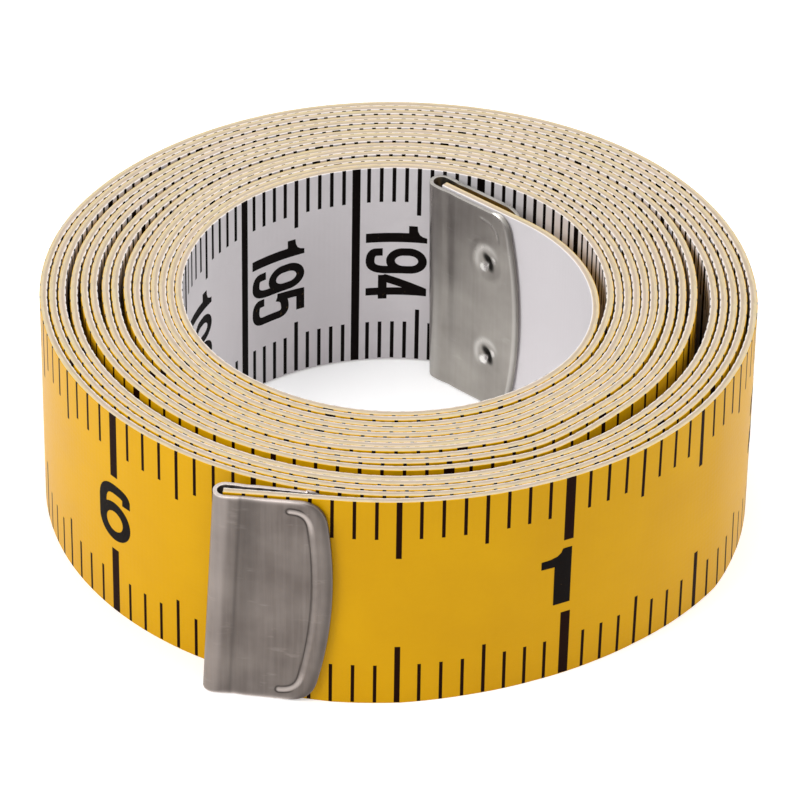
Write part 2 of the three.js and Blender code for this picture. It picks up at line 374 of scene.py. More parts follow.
# The turns don't stand quite level, apart from the outermost, which stands on the floor
def standing(along):
    waves = sum(high * np.sin(along / length + start) for high, length, start in strip["waves"])
    return strip["heightStray"] * (1 + waves / 2) * ramp(along, *strip["strayFrom"])


# How far the outermost turn strays outwards at its foot and its head, along the strip
outerStray = {
    "along": (0, 5, 9, 14, 19, 24, 29, 33, 38, 42, 46, 51, 58),
    "foot": (0.0, 0.12, 0.4, 0.3, -0.05, -0.28, -0.3, -0.2, 0.12, 0.42, 0.25, 0.1, 0.0),
    "head": (0.0, 0.0, 0.0, 0.04, 0.0, -0.1, -0.02, 0.08, 0.12, 0.12, 0.1, 0.05, 0.0),
}


def strayed(along, height):
    foot, head = (np.interp(along, outerStray["along"], outerStray[part]) for part in ("foot", "head"))
    return foot + (head - foot) * height / strip["width"]


print(f"strip {courseLength:.1f} mm long, bends at {bends[0]:.1f} and {bends[1]:.1f}")


# Print on the strip: ink marks measured along it

printing = {
    "length": 2031.2,  # of the scales over the whole strip
    "softness": 0.03,
    "bare": 0.6,  # before the first mark
    "wanders": 0.031,  # how quickly the margin beside the marks changes along the strip
    "inch": {
        "start": 1.1,  # from the outer clip's fold
        "margin": (0.008, 0.09),  # bare strip beside the rim
        "last": 2007.0,
        "rise": 0.1,  # the print sits this much high
        "marks": [  # spacing, width, length from each edge
            (25.4 / 16, 0.26, 3.4),
            (25.4 / 4, 0.28, 4.45),
            (25.4 / 2, 0.42, 5.1),
            (25.4, 0.78, 5.75),
        ],
    },
    "centimetre": {
        "margin": (0.03, 0.17),
        "start": -0.3,
        "last": 2000.3,
        "rise": 0.25,
        "marks": [(1.0, 0.3, 3.4), (5.0, 0.34, 4.62), (10.0, 0.66, 18.0)],
    },
}


# A node group and its two ends: a value gives a socket's kind and default, a word only its kind
def groupTree(name, inputs, outputs, treeKind="ShaderNodeTree"):
    tree = bpy.data.node_groups.new(name, treeKind)
    kinds = {float: "Float", int: "Int", tuple: "Vector"}
    for way, sockets in (("INPUT", inputs), ("OUTPUT", outputs)):
        for label, value in sockets.items():
            kind = "NodeSocket" + kinds.get(type(value), value)
            socket = tree.interface.new_socket(name=label, in_out=way, socket_type=kind)
            if type(value) in kinds:
                socket.default_value = value
    return tree, addNode(tree, "NodeGroupInput").outputs, addNode(tree, "NodeGroupOutput")


# Ruled marks: 1 on the ink. Edge distance is measured from the nearer edge of the print.
def ruledMarksGroup():
    inputs = {"Along": 0.0, "Edge distance": 0.0, "Spacing": 1.0, "Width": 0.2, "Length": 3.0}
    tree, given, result = groupTree("ruledMarks", inputs, {"Ink": "Float"})
    half = times(tree, given["Spacing"], 0.5)
    away = maths(tree, "PINGPONG", given["Along"], half)
    reach = times(tree, given["Width"], 0.5)
    sharp = 1 / printing["softness"]
    across = maths(tree, "MULTIPLY_ADD", minus(tree, reach, away), sharp, 0.5, clamp=True)
    short = minus(tree, given["Length"], given["Edge distance"])
    down = maths(tree, "MULTIPLY_ADD", short, sharp, 0.5, clamp=True)
    plugAll(tree, result, {"Ink": times(tree, across, down)})
    return tree


# Fine cloth showing through the coating, with a slow unevenness of tone
def clothGrainGroup(grain):
    inputs = {"Along": 0.0, "Height": 0.0, "Thread": 0.42, "Unevenness": 0.5}
    outputs = {"Relief": "Float", "Tone": "Float", "Gloss": "Float"}
    tree, given, result = groupTree("clothGrain", inputs, outputs)
    turn = maths(tree, "DIVIDE", 2 * math.pi, given["Thread"])
    warp, weft = (
        maths(tree, "SINE", times(tree, given[way], turn)) for way in ("Along", "Height")
    )
    place = combine(tree, given["Along"], given["Height"])
    broad, fine = (addNoise(tree, place, *grain[layer]) for layer in ("broad", "fine"))
    weave = times(tree, plus(tree, warp, weft), grain["weave"])
    tone = maths(tree, "MULTIPLY_ADD", minus(tree, broad, 0.5), given["Unevenness"], 0.5)
    plugAll(tree, result, {
        "Relief": maths(tree, "MULTIPLY_ADD", fine, grain["pimples"], weave),
        "Tone": maths(tree, "MULTIPLY_ADD", fine, grain["specks"], tone),
        "Gloss": times(tree, plus(tree, fine, broad), 0.5),
    })
    return tree


# The cut wanders beside the print, so the marks reach the rim in some places only.
# 1 past the margin, 0 within it.
def printMarginGroup():
    inputs = {"Along": 0.0, "From rim": 0.0, "Least": 0.03, "Most": 0.17}
    tree, given, result = groupTree("printMargin", inputs, {"Beyond": "Float"})
    inputs = {"W": times(tree, given["Along"], printing["wanders"])}
    wander = addNode(tree, "ShaderNodeTexNoise", inputs, noise_dimensions="1D")
    margin = rescale(tree, wander.outputs["Fac"], 0.36, 0.64, given["Least"], given["Most"])
    past = minus(tree, given["From rim"], margin)
    plugAll(tree, result, {"Beyond": rescale(tree, past, 0, printing["softness"] * 0.4, 0, 1)})
    return tree


ruledMarks = ruledMarksGroup()
printMargin = printMarginGroup()
clothGrain = clothGrainGroup({
    "broad": (0.11, 3), "fine": (2.6, 4),  # scale and detail of the noise
    "weave": 0.25, "pimples": 0.9, "specks": 0.12,
})


def printedInk(tree, along, height, scale):
    along = minus(tree, along, scale["start"])
    fromTop = minus(tree, strip["width"] + scale["rise"], height)
    fromEdge = maths(tree, "MINIMUM", fromTop, minus(tree, height, scale["rise"]))
    ink = None
    for spacing, width, length in scale["marks"]:
        inputs = {"Along": along, "Edge distance": fromEdge}
        inputs.update({"Spacing": spacing, "Width": width, "Length": length})
        marks = addNode(tree, "ShaderNodeGroup", inputs, node_tree=ruledMarks).outputs[0]
        ink = marks if ink is None else maths(tree, "MAXIMUM", ink, marks)
    inRange = maths(tree, "LESS_THAN", along, scale["last"])
    started = maths(tree, "GREATER_THAN", along, printing["bare"])
    least, most = scale["margin"]
    fromRim = plus(tree, fromEdge, scale["rise"])
    inputs = {"Along": along, "From rim": fromRim, "Least": least, "Most": most}
    beyond = addNode(tree, "ShaderNodeGroup", inputs, node_tree=printMargin).outputs[0]
    printed = times(tree, times(tree, inRange, started), beyond)
    return times(tree, ink, printed)


def coatMaterial(name, look, scale):
    material, tree, shader = newMaterial(name)
    along, height = readAttribute(tree, "along"), readAttribute(tree, "height")
    inputs = {"Along": along, "Height": height, "Thread": look["thread"], "Unevenness": look["unevenness"]}
    grain = addNode(tree, "ShaderNodeGroup", inputs, node_tree=clothGrain).outputs
    ground = mixColour(tree, grain["Tone"], look["dark"], look["light"])
    ink = printedInk(tree, along, height, scale)
    gloss = rescale(tree, grain["Gloss"], *noiseRange, *look["roughness"])
    relief = maths(tree, "MULTIPLY_ADD", ink, 0.4, grain["Relief"])
    plugAll(tree, shader, {
        "Base Color": mixColour(tree, ink, ground, look["ink"]),
        "Roughness": maths(tree, "MULTIPLY_ADD", ink, 0.08, gloss),
        "Specular IOR Level": rescale(tree, ink, 0, 1, 0.11, 0.03),
        "Normal": bumped(tree, relief, look["relief"], 0.02),
    })
    return material


def edgeMaterial(look):
    material, tree, shader = newMaterial("cutEdge")
    along, height, across = (readAttribute(tree, name) for name in ("along", "height", "across"))
    place = combine(tree, along, times(tree, across, look["squeeze"]), height)
    fibres, patches = (addNoise(tree, place, *look[layer]) for layer in ("fibres", "patches"))
    half = strip["thickness"] / 2
    # The cloth shows as a greyer line between the two coats, the yellow one soaked in deeper
    spread = [look["clothAt"] + side * look["clothWanders"] for side in (-1, 1)]
    clothAt = rescale(tree, patches, 0.35, 0.65, *spread)
    fromCloth = maths(tree, "ABSOLUTE", minus(tree, across, clothAt))
    # Each layer lies over those before it, and the coats show at the rims of the cut
    layers = {
        "light": (fibres, *noiseRange, 0, 1),
        "pink": (patches, 0.5, 0.64, 0, 0.8),
        "straw": (patches, 0.45, 0.3, 0, 0.6),
        "cream": (across, look["clothAt"], half, 0, 0.65),
        "cloth": (fromCloth, look["clothHalf"] * 0.3, look["clothHalf"], 0.68, 0),
        "white": (across, look["whiteRim"] - half, look["whiteRim"] * 0.5 - half, 0, 1),
        "yellow": (across, half - look["yellowRim"], half - look["yellowRim"] * 0.4, 0, 1),
    }
    body = look["dark"]
    for colour, share in layers.items():
        body = mixColour(tree, rescale(tree, *share), body, look[colour])
    plugAll(tree, shader, {
        "Base Color": body, "Roughness": rescale(tree, fibres, *noiseRange, 0.55, 0.85),
        "Specular IOR Level": 0.2, "Normal": bumped(tree, fibres, 0.6, 0.05),
    })
    return material


inkColour = linear(14, 8, 7)
yellowCoat = coatMaterial("yellowCoat", {
    "dark": linear(206, 150, 0), "light": linear(230, 175, 0), "ink": linear(30, 9, 3),
    "thread": 0.42, "unevenness": 0.9, "roughness": (0.34, 0.46), "relief": 0.25,
}, printing["inch"])
whiteCoat = coatMaterial("whiteCoat", {
    "dark": linear(222, 217, 219), "light": linear(236, 232, 234), "ink": inkColour,
    "thread": 0.42, "unevenness": 0.8, "roughness": (0.4, 0.52), "relief": 0.2,
}, printing["centimetre"])
cutEdge = edgeMaterial({
    "dark": linear(180, 161, 134), "light": linear(212, 194, 164), "pink": linear(200, 182, 168),
    "straw": linear(200, 186, 142), "white": linear(227, 218, 210), "yellow": linear(214, 192, 120),
    "cloth": linear(174, 157, 142), "cream": linear(218, 201, 156),
    "clothAt": -0.06, "clothHalf": 0.11, "clothWanders": 0.04, "whiteRim": 0.125, "yellowRim": 0.05,
    "fibres": (1.3, 5), "patches": (0.16, 2, (1, 0.1, 1)), "squeeze": 6,
})
print("strip materials ready")


# The strip: a rounded section swept along its course by Geometry Nodes

def stripTree():
    tree, given, result = groupTree("sweptStrip", {
        "Course": "Geometry",
        "Width": strip["width"] / 1000,
        "Thickness": strip["thickness"] / 1000,
        "Corner radius": strip["cornerRadius"] / 1000,
        "Corner steps": strip["cornerSteps"],
        "Start": 0.0, "Print scale": 1.0,
        "Outer face": "Material", "Inner face": "Material", "Edges": "Material",
    }, {"Strip": "Geometry"}, "GeometryNodeTree")

    def keep(geometry, name, value):
        inputs = {"Geometry": geometry, "Name": name, "Value": value}
        kind = "GeometryNodeStoreNamedAttribute"
        return addNode(tree, kind, inputs, data_type="FLOAT", domain="POINT").outputs[0]

    upright = addNode(tree, "GeometryNodeSetCurveNormal", {"Curve": given["Course"]}, mode="Z_UP")
    travelled = addNode(tree, "GeometryNodeSplineParameter").outputs["Length"]
    travelled = times(tree, plus(tree, travelled, given["Start"]), 1000)
    rail = keep(upright.outputs[0], "along", times(tree, travelled, given["Print scale"]))

    inputs = {"Width": given["Thickness"], "Height": given["Width"]}
    section = addNode(tree, "GeometryNodeCurvePrimitiveQuadrilateral", inputs)
    inputs = {"Curve": section.outputs[0], "Count": given["Corner steps"], "Radius": given["Corner radius"]}
    rounded = addNode(tree, "GeometryNodeFilletCurve", inputs, mode="POLY")
    place = addNode(tree, "GeometryNodeInputPosition").outputs[0]
    where = addNode(tree, "ShaderNodeSeparateXYZ", {0: place}).outputs
    profile = keep(rounded.outputs[0], "across", times(tree, where[0], 1000))
    # The section's Y points down once the curve's normal is level
    level = minus(tree, times(tree, given["Width"], 0.5), where[1])
    profile = keep(profile, "height", times(tree, level, 1000))
    inputs = {"Curve": rail, "Profile Curve": profile, "Fill Caps": True}
    sweep = addNode(tree, "GeometryNodeCurveToMesh", inputs)

    def stored(name):
        return addNode(tree, "GeometryNodeInputNamedAttribute", {"Name": name}, data_type="FLOAT").outputs[0]

    def halfOf(name):
        return times(tree, given[name], 500)

    # The faces stay flat up to their rounded corners
    slack = 0.002
    radius = times(tree, given["Corner radius"], 1000)
    across = stored("across")
    flatSide = minus(tree, halfOf("Thickness"), slack)
    beyond = maths(tree, "GREATER_THAN", maths(tree, "ABSOLUTE", across), flatSide)
    fromMiddle = maths(tree, "ABSOLUTE", minus(tree, stored("height"), halfOf("Width")))
    flatHalf = minus(tree, minus(tree, halfOf("Width"), radius), slack)
    nearCorner = maths(tree, "GREATER_THAN", fromMiddle, flatHalf)
    crease = addNode(tree, "GeometryNodeSetShadeSmooth", {
        "Geometry": sweep.outputs[0],
        "Selection": times(tree, beyond, nearCorner),
        "Shade Smooth": False,
    }, domain="EDGE")

    limit = plus(tree, minus(tree, halfOf("Thickness"), radius), slack / 10)
    geometry = addNode(tree, "GeometryNodeRealizeInstances", {0: crease.outputs[0]}).outputs[0]
    for name, chosen in (
        ("Edges", True),
        ("Outer face", maths(tree, "GREATER_THAN", across, limit)),
        ("Inner face", maths(tree, "LESS_THAN", across, times(tree, limit, -1))),
    ):
        inputs = {"Geometry": geometry, "Selection": chosen, "Material": given[name]}
        geometry = addNode(tree, "GeometryNodeSetMaterial", inputs).outputs[0]
    plugAll(tree, result, {0: geometry})
    return tree


sweptStrip = stripTree()
printScale = printing["length"] / courseLength


def setInputs(modifier, values):
    for item in modifier.node_group.interface.items_tree:
        if item.item_type == "SOCKET" and item.in_out == "INPUT" and item.name in values:
            modifier[item.identifier] = values[item.name]


# A plain, smooth mesh object at the origin from what the modifiers make
def plainMesh(source, name):
    depsgraph = bpy.context.evaluated_depsgraph_get()
    finished = source.evaluated_get(depsgraph)
    mesh = bpy.data.meshes.new_from_object(finished, preserve_all_data_layers=True, depsgraph=depsgraph)
    mesh.name = name
    for polygon in mesh.polygons:
        polygon.use_smooth = True
    bpy.data.objects.remove(source)
    return addObject(name, mesh)


# Moves a swept mesh as the outermost turn strays, by its stored distances
def leanOut(mesh):
    stored = {}
    for label in ("along", "height"):
        stored[label] = np.zeros(len(mesh.vertices), np.float32)
        mesh.attributes[label].data.foreach_get("value", stored[label])
    along = stored["along"] / printScale
    places = np.zeros(len(mesh.vertices) * 3, np.float32)
    mesh.vertices.foreach_get("co", places)
    places = places.reshape(-1, 3)
    places[:, :2] += onCourse(along)[2] * strayed(along, stored["height"])[:, None] / 1000
    mesh.vertices.foreach_set("co", places.ravel())
    mesh.update()


def makeStrip(name, start, end):
    steps = np.array(strip["seamSteps"])
    count = int(round((end - start) / strip["segment"]))
    between = np.linspace(start, end, count + 1)[1:-1]
    along = np.concatenate([[start], start + steps, between, end - steps[::-1], [end]])
    count = len(along) - 1
    places = onCourse(along)[0]
    heights = strip["width"] / 2 + standing(along)
    data = bpy.data.curves.new(name + "_course", "CURVE")
    data.dimensions = "3D"
    spline = data.splines.new("POLY")
    spline.points.add(count)
    rows = np.column_stack([places, heights, np.ones(count + 1)]) * (0.001, 0.001, 0.001, 1)
    spline.points.foreach_set("co", rows.ravel())
    source = addObject(name + "_course", data)
    sweep = source.modifiers.new("sweep", "NODES")
    sweep.node_group = sweptStrip
    faces = {"Outer face": yellowCoat, "Inner face": whiteCoat, "Edges": cutEdge}
    setInputs(sweep, {"Start": start / 1000, "Print scale": printScale, **faces})
    piece = plainMesh(source, name)
    leanOut(piece.data)
    # The strip's cut ends are sharp
    sharp = piece.data.attributes["sharp_edge"].data
    for polygon in piece.data.polygons:
        if len(polygon.vertices) > 4:
            for loop in polygon.loop_indices:
                sharp[piece.data.loops[loop].edge_index].value = True
    print(name, len(piece.data.polygons), "faces", [coat.name for coat in piece.data.materials])
    return piece


seams = {"pastBend": 4.0, "blend": 1.5, "outerTurn": 165.0, "innerTurn": 104.0}
outerSeam = bends[0] + seams["pastBend"]
innerSeam = bends[1] - seams["pastBend"]
stripCuts = [
    ("tape_outer_end_strip", winding["endGap"], outerSeam),
    ("tape_outer_turn", outerSeam, outerSeam + seams["outerTurn"]),
    ("tape_middle_turns", outerSeam + seams["outerTurn"], innerSeam - seams["innerTurn"]),
    ("tape_inner_turn", innerSeam - seams["innerTurn"], innerSeam),
    ("tape_inner_end_strip", innerSeam, courseLength - winding["endGap"]),
]
stripPieces = {name: (makeStrip(name, start, end), end - start) for name, start, end in stripCuts}
print("strip swept")

for name, (piece, length) in stripPieces.items():
    if "end_strip" in name:
        end = "outer_end" if "outer" in name else "inner_end"
        at = bends[0] if "outer" in name else bends[1]
        sides = onCourse([at - seams["blend"], at + seams["blend"]])[0]
        if end == "outer_end":
            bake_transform(piece)
        else:
            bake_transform(piece)
        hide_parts("tape_" + end)
    else:
        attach(piece, "coil")
        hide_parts("tape_coil")


# Numbers of the scales, as thin ink on the outermost and innermost turns

numbers = {
    "inch": {
        "values": range(1, 8), "spacing": 25.4, "tall": 5.1, "digit": 3.5, "one": 2.4,
        "stroke": 0.82, "between": 0.3, "middle": 9.28,
        "nudge": {1: -0.9},  # along the strip, from the middle of its line
    },
    "centimetre": {
        "values": range(190, 200), "spacing": 10.0, "tall": 4.88, "digit": 2.4, "one": 1.54,
        "stroke": 0.7, "between": 0.08, "middle": 9.3, "fromLine": 0.8,
    },
    "pastOne": 0.5,  # further space after a one
    "ink": 0.014,  # how far the ink stands off the coating
    "sunk": 0.03,
    "bendEvery": 0.5,
    "ringEnd": 0.62,  # height of a ring's rounded end, by its width
    "roundings": 3,  # times that a bent stroke's corners are cut off
}

# Outline of a one in a box of 1 by 1: its foot, its stem and its flag
oneOutline = [
    (0.44, 0.0), (1.0, 0.0), (1.0, 1.0), (0.7, 1.0), (0.64, 0.93), (0.52, 0.88), (0.3, 0.85),
    (0.0, 0.84), (0.0, 0.7), (0.44, 0.7),
]

# The other digits' strokes, in a box of 1 by 1 through the middles of their outer strokes.
# A ring is given by its lowest and highest level.
nineTail = [(1, 0.7), (1, 0), (0, 0), (0, 0.24)]
digitStrokes = {
    "0": {"ring": (0, 1)},
    "2": {"bent": [(0, 0.72), (0, 1), (1, 1), (1, 0.72), (1, 0.56), (0.1, 0.3), (0, 0)],
          "straight": [(-0.17, 0), (1.17, 0)]},
    "3": {"bent": [(0, 0.76), (0, 1), (0.96, 1), (0.96, 0.8), (0.96, 0.54), (0.34, 0.54)],
          "bent again": [(0.34, 0.54), (1, 0.54), (1, 0.3), (1, 0), (0, 0), (0, 0.23)]},
    "4": {"straight": [(0.75, -0.08), (0.75, 1.08)], "bar": [(-0.17, 0.24), (1.17, 0.24)],
          "slope": [(-0.03, 0.25), (0.72, 1.04)]},
    "5": {"straight": [(1.05, 1), (0.1, 1), (0.03, 0.5)],
          "bent": [(0.02, 0.5), (0.2, 0.66), (1, 0.68), (1, 0.35), (1, 0), (0, 0), (0, 0.2)]},
    "6": {"ring": (0, 0.61), "bent": [(1 - x, 1 - y) for x, y in nineTail]},
    "7": {"straight": [(-0.17, 1), (1.1, 1)], "bent": [(1, 1.05), (0.6, 0.6), (0.35, 0.3), (0.3, -0.08)]},
    "8": {"ring": (0, 0.53), "ring above": (0.53, 1)},
    "9": {"ring": (0.39, 1), "bent": nineTail},
}


def inkMaterial(look):
    material, tree, shader = newMaterial("numberInk")
    place = addNode(tree, "ShaderNodeTexCoord").outputs["Object"]
    worn = addNoise(tree, place, *look["worn"])
    flecks = rescale(tree, worn, 0.68, 0.72, 0, 0.5)
    plugAll(tree, shader, {
        "Base Color": mixColour(tree, flecks, look["ink"], look["fleck"]),
        "Roughness": rescale(tree, worn, *noiseRange, *look["roughness"]),
        "Specular IOR Level": 0.04,
    })
    return material


numberInk = inkMaterial({
    "ink": inkColour, "fleck": linear(90, 70, 40), "worn": (2600, 3), "roughness": (0.42, 0.56),
})


def oneShape(bm, size):
    outline = np.array(oneOutline) * size
    backs = [bm.verts.new((x, y, -0.5)) for x, y in outline]
    fronts = [bm.verts.new((x, y, 0.5)) for x, y in outline]
    bm.faces.new(backs[::-1])
    bm.faces.new(fronts)
    for k in range(-len(outline), 0):
        bm.faces.new((backs[k], backs[k + 1], fronts[k + 1], fronts[k]))
    bm.normal_update()
    bmesh.ops.triangulate(bm, faces=bm.faces)


# A flat bar of even width along a path, closed to a loop in a ring
def strokeShape(bm, kind, path, size, stroke, top):
    closed = kind.startswith("ring")
    inner = np.array(size) - stroke
    if closed:
        # Straight sides between rounded ends
        tall = (path[1] - path[0]) * inner[1]
        end = min(tall / 2, inner[0] * numbers["ringEnd"])
        angle = np.linspace(0, 2 * np.pi, 37)
        rise = end * np.sin(angle) + (tall / 2 - end) * np.sign(np.sin(angle))
        points = np.stack([inner[0] / 2 * (1 + np.cos(angle)), path[0] * inner[1] + tall / 2 + rise], 1)
    else:
        points = np.array(path) * inner
    for _ in range(numbers["roundings"] if kind.startswith("bent") else 0):
        ahead, behind = points[1:], points[:-1]
        cut = np.stack([behind * 0.75 + ahead * 0.25, behind * 0.25 + ahead * 0.75], 1).reshape(-1, 2)
        points = np.vstack([points[:1], cut, points[-1:]])
    points = points + stroke / 2
    way = np.diff(points, axis=0)
    way /= np.linalg.norm(way, axis=1)[:, None]
    ends = (way[-1:], way[:1]) if closed else (way[:1], way[-1:])
    both = np.vstack([ends[0], way]) + np.vstack([way, ends[1]])
    across = np.stack([-both[:, 1], both[:, 0]], 1) * stroke / (both ** 2).sum(1)[:, None]
    rims = []
    for left, right in zip(points + across, points - across):
        corners = (*left, -0.5), (*left, top), (*right, top), (*right, -0.5)
        rims.append([bm.verts.new(corner) for corner in corners])
    if closed:
        for vert in rims.pop():
            bm.verts.remove(vert)
        rims.append(rims[0])
    else:
        bm.faces.new(rims[0])
        bm.faces.new(rims[-1][::-1])
    for before, after in zip(rims, rims[1:]):
        for k in range(4):
            bm.faces.new((before[k], before[k - 3], after[k - 3], after[k]))


# A number as a flat solid about the origin, X along its digits, in millimetres
def numberShape(text, setup):
    widths = [setup["one" if digit == "1" else "digit"] for digit in text]
    spaces = [setup["between"] + numbers["pastOne"] * (digit == "1") for digit in text[:-1]] + [0]
    wide = sum(widths) + sum(spaces)
    whole = bmesh.new()
    left = -wide / 2
    for digit, width, space in zip(text, widths, spaces):
        bm = bmesh.new()
        size = (width, setup["tall"])
        if digit == "1":
            oneShape(bm, size)
        else:
            # Each stroke is a little taller than the one before it, so that no faces coincide
            for order, (kind, path) in enumerate(digitStrokes[digit].items()):
                strokeShape(bm, kind, path, size, setup["stroke"], 0.5 + 0.1 * order)
        bmesh.ops.translate(bm, verts=bm.verts, vec=(left, -setup["tall"] / 2, 0))
        joinMesh(whole, bm)
        left += width + space
    return whole, wide


def joinMesh(whole, bm):
    part = bpy.data.meshes.new("part")
    bm.to_mesh(part)
    bm.free()
    whole.from_mesh(part)
    bpy.data.meshes.remove(part)


# Lays numbers on a face of the strip: turned ones read down it, the others along it
def printNumbers(name, scale, turned):
    setup = numbers[scale]
    whole = bmesh.new()
    for value in setup["values"]:
        bm, wide = numberShape(str(value), setup)
        way = Vector((0, 1, 0) if turned else (1, 0, 0))
        reach = (setup["tall"] if turned else wide) / 2
        for cut in np.arange(-reach, reach, numbers["bendEvery"])[1:]:
            geometry = bm.verts[:] + bm.edges[:] + bm.faces[:]
            bmesh.ops.bisect_plane(bm, geom=geometry, plane_co=way * float(cut), plane_no=way)
        line = (value * setup["spacing"] + printing[scale]["start"]) / printScale
        line += setup.get("nudge", {}).get(value, 0)
        local = np.array([v.co for v in bm.verts])
        if turned:
            along = line - setup["fromLine"] - setup["tall"] / 2 - local[:, 1]
            height = setup["middle"] - local[:, 0]
        else:
            along, height = line + local[:, 0], setup["middle"] + local[:, 1]
        places, _, outward = onCourse(along)
        raised = np.where(local[:, 2] > 0, local[:, 2] * 2 * numbers["ink"], -numbers["sunk"])
        off = strip["thickness"] / 2 + raised
        off = (-off if turned else off) + strayed(along, height)
        places = places + outward * off[:, None]
        for vert, place, z in zip(bm.verts, places, height + standing(along)):
            vert.co = Vector((place[0], place[1], z)) / 1000
        joinMesh(whole, bm)
    bmesh.ops.recalc_face_normals(whole, faces=whole.faces)
    bmesh.ops.triangulate(whole, faces=whole.faces)
    mesh = bpy.data.meshes.new(name)
    whole.to_mesh(mesh)
    whole.free()
    mesh.materials.append(numberInk)
    piece = addObject(name, mesh)
    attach(piece, "coil")
    print(name, len(mesh.polygons), "faces")


printNumbers("inch_numbers", "inch", turned=False)
printNumbers("centimetre_numbers", "centimetre", turned=True)


# Clips: sheet folded round the strip's end and crimped, with a bead and two stakes

clip = {
    "length": 9.1, "height": 18.0, "sheet": 0.3,
    "nearPlane": -0.58,  # middle of the near leaf, from the strip's middle
    "raised": 0.1,  # from the floor, to stand level with the strip's middle
    "bow": 1.1,  # of the lip
    "turnedIn": 0.26,  # width of the lip that turns in
    "columns": 76, "foldColumns": 14, "rows": 152,
    "rimBevel": 0.06,
    "bead": {
        "fromLip": 1.2, "fromSide": 0.85, "corner": 1.3, "points": 161,
        "halfWidth": 0.21, "height": 0.08,
    },
    "stake": {
        "fromFold": 6.25, "spacing": 8.7,
        "depth": 0.37,  # to a little below the face of the strip
        "dish": (0.35, 0.48),  # its share of the depth, and how wide the hole in it is
        "tilt": (0.9, 0.44),  # of the painted dark crease
        # Middle and half size of the hollow, the painted dark crease in it, and the two painted highlights
        "hollow": (0, 0, 1.25, 1.6), "crease": (0.045, 0, 0.55, 1.05),
        "low": (-0.38, -0.58, 0.46, 0.44), "high": (0.5, 0.36, 0.34, 0.42),
    },
    # How high its slight dents and ripples are, and how quickly they follow one another
    "dented": 0.018, "rippled": 0.01, "unevenness": (0.9, 0.33, 0.8),
    # Strength, place and reach: the hollow beside the fold, and the painted shade there and beside the bead
    "foldHollow": (0.06, 2.3, 0.5), "foldShade": (0.32, 2.7, 0.9),
    "foldShadeLines": [(0.34, 1.25, 0.2), (0.24, 2.05, 0.14)], "beadShade": (0.8, 0.26, 0.08),
    # Painted highlight along the fold
    "foldHighlight": 0.16,
    "rimHighlightReach": 0.1,  # reach of the painted highlight from a rim
}

# rim is the strength of the painted highlight along a clip's rims
clipStyles = {
    "outer": {
        "name": "outer_clip", "node": "outer_end_clip", "body": "outer_end",
        "fold": 1.8, "lip": 1.4, "skew": 2.7, "beadLeaf": -1, "wave": 0.3, "finish": "shaded",
        "corners": {-1: 1.8, 1: 1.1}, "rim": 0.9,
    },
    "inner": {
        "name": "inner_clip", "node": "inner_end_clip", "body": "inner_end",
        "fold": 1.85, "lip": 1.8, "skew": -1.2, "beadLeaf": 1, "wave": 1.9, "finish": "clean",
        "corners": {-1: 1.15, 1: 1.3}, "rim": 0.2,
    },
}


# How far a leaf reaches from the fold at heights from its middle, drawn in by two insets
def lipReach(heights, corner, fromLip=0.0, fromSide=0.0):
    half = clip["height"] / 2 - fromSide
    radius = (clip["height"] ** 2 / 4 + clip["bow"] ** 2) / (2 * clip["bow"]) - fromLip

    def bow(at):
        across = np.minimum(np.abs(at), half)
        return clip["length"] - fromLip - radius + np.sqrt(radius ** 2 - across ** 2)

    level = np.abs(np.asarray(heights, float))
    share = np.sqrt(np.clip((half - level) / corner, 0, 1))
    first, last = bow(half), bow(half - corner)
    rounded = (first - corner) * (1 - share) ** 2 + 2 * first * share * (1 - share) + last * share ** 2
    return np.where(level > half - corner, rounded, bow(level))


# Heights from side to side, closer together near the sides
def spreadHeights(half, count):
    share = np.linspace(-1, 1, count)
    return half * (1.5 * share - 0.5 * share ** 3)


def beadPath(bead):
    heights = spreadHeights(clip["height"] / 2 - bead["fromSide"], bead["points"])
    reach = lipReach(heights, bead["corner"], bead["fromLip"], bead["fromSide"])
    return np.column_stack([reach, heights])


# Distance from a spot's middle, 1 at its rim
def fromSpot(along, above, spot):
    return np.hypot((along - spot[0]) / spot[2], (above - spot[1]) / spot[3])
